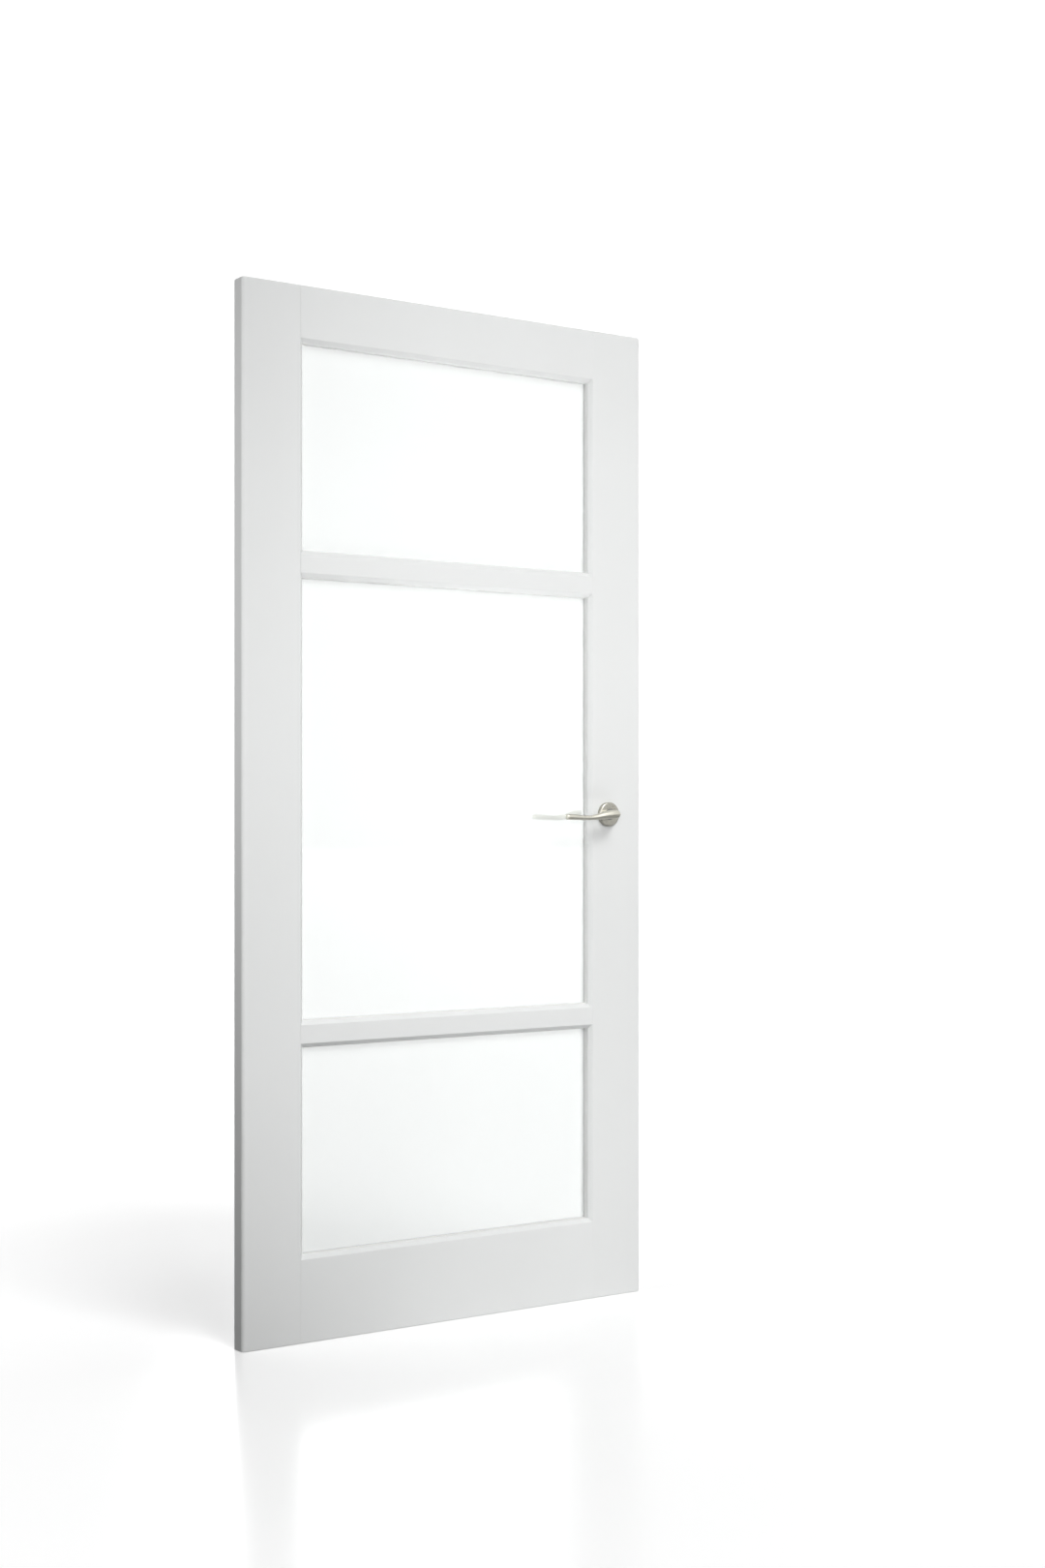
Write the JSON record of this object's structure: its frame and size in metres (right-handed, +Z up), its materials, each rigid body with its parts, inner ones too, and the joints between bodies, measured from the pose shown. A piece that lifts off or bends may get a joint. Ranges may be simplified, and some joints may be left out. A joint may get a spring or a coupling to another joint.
{
  "type": "glazed interior door",
  "caption": "White interior door leaf with clear panes between moulded glazing bars, and a slim lever handle on a round rose on each side.",
  "frame": {"origin": "foot of the hinge edge, in the middle of the leaf's thickness", "axes": "+X from the hinge edge to the lock edge, +Y from the front face to the back face, +Z up"},
  "size_m": [0.996, 0.143, 2.11],
  "materials": {
    "painted_timber": "white satin paint",
    "clear_glass": "clear float glass",
    "satin_nickel": "satin nickel plate",
    "brushed_stainless": "brushed stainless steel",
    "zinc_plated_steel": "bright zinc plate",
    "nylon": "grey nylon"
  },
  "bodies": {
    "leaf": {"hinge_stile": "painted_timber", "lock_stile": "painted_timber", "top_rail": "painted_timber", "upper_glazing_bar": "painted_timber", "lower_glazing_bar": "painted_timber", "bottom_rail": "painted_timber", "upper_glass": "clear_glass", "middle_glass": "clear_glass", "lower_glass": "clear_glass", "upper_bead_bottom": "painted_timber", "upper_bead_top": "painted_timber", "upper_bead_left": "painted_timber", "upper_bead_right": "painted_timber", "middle_bead_bottom": "painted_timber", "middle_bead_top": "painted_timber", "middle_bead_left": "painted_timber", "middle_bead_right": "painted_timber", "lower_bead_bottom": "painted_timber", "lower_bead_top": "painted_timber", "lower_bead_left": "painted_timber", "lower_bead_right": "painted_timber", "front_rose": "satin_nickel", "back_rose": "satin_nickel", "front_rose_plate": "zinc_plated_steel", "back_rose_plate": "zinc_plated_steel", "front_bearing": "nylon", "back_bearing": "nylon", "lock_faceplate": "brushed_stainless", "faceplate_screws": "brushed_stainless", "latch_bolt": "brushed_stainless", "latch_case": "zinc_plated_steel"},
    "lever_set": {"front_lever": "satin_nickel", "back_lever": "satin_nickel", "spindle": "zinc_plated_steel", "latch_follower": "zinc_plated_steel"}
  },
  "joints": [
    {"name": "lever_turn", "type": "hinge", "parent": "leaf", "child": "lever_set", "pos_m": [0.895, 0, 1.055], "axis": [0, -1, 0], "range_deg": [0, 40], "stiffness_Nm_per_rad": 1, "springref_deg": -34.38}
  ]
}
